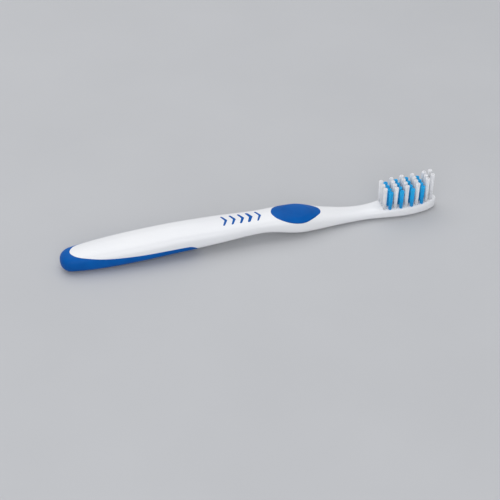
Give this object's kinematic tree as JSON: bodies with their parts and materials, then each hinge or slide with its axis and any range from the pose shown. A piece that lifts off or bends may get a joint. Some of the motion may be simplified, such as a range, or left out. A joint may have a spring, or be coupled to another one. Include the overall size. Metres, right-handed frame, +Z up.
{
  "type": "manual toothbrush",
  "caption": "Manual toothbrush lying on its back: white moulded handle, slim neck and oval head, blue soft grips and arrow marks, rows of white and blue bristle tufts.",
  "frame": {"origin": "under the middle of the brush's length and width, on the surface that it lies on", "axes": "+X from the tail of the handle to the toe of the head, +Y across the brush, +Z up the bristles"},
  "size_m": [0.184, 0.0162, 0.0212],
  "materials": {
    "handle_white": "glossy moulded polypropylene",
    "grip_blue": "satin soft-touch elastomer",
    "bristle_white": "translucent nylon filament",
    "bristle_blue": "dyed nylon filament",
    "anchor_metal": "plain nickel silver wire"
  },
  "bodies": {
    "root": {"back_grip": "grip_blue", "blue_tuft_row02_1": "bristle_blue", "blue_tuft_row02_2": "bristle_blue", "blue_tuft_row02_3": "bristle_blue", "blue_tuft_row02_4": "bristle_blue", "blue_tuft_row04_1": "bristle_blue", "blue_tuft_row04_2": "bristle_blue", "blue_tuft_row04_3": "bristle_blue", "blue_tuft_row04_4": "bristle_blue", "blue_tuft_row06_1": "bristle_blue", "blue_tuft_row06_2": "bristle_blue", "blue_tuft_row06_3": "bristle_blue", "blue_tuft_row06_4": "bristle_blue", "blue_tuft_row08_1": "bristle_blue", "blue_tuft_row08_2": "bristle_blue", "blue_tuft_row08_3": "bristle_blue", "blue_tuft_row08_4": "bristle_blue", "chevron_1": "grip_blue", "chevron_2": "grip_blue", "chevron_3": "grip_blue", "chevron_4": "grip_blue", "chevron_5": "grip_blue", "handle_body": "handle_white", "thumb_pad": "grip_blue", "tuft_anchors": "anchor_metal", "white_tuft_row01_1": "bristle_white", "white_tuft_row01_2": "bristle_white", "white_tuft_row01_3": "bristle_white", "white_tuft_row03_1": "bristle_white", "white_tuft_row03_2": "bristle_white", "white_tuft_row03_3": "bristle_white", "white_tuft_row03_4": "bristle_white", "white_tuft_row05_1": "bristle_white", "white_tuft_row05_2": "bristle_white", "white_tuft_row05_3": "bristle_white", "white_tuft_row05_4": "bristle_white", "white_tuft_row07_1": "bristle_white", "white_tuft_row07_2": "bristle_white", "white_tuft_row07_3": "bristle_white", "white_tuft_row07_4": "bristle_white", "white_tuft_row09_1": "bristle_white", "white_tuft_row09_2": "bristle_white", "white_tuft_row09_3": "bristle_white", "white_tuft_row10_1": "bristle_white", "white_tuft_row10_2": "bristle_white"}
  },
  "joints": []
}
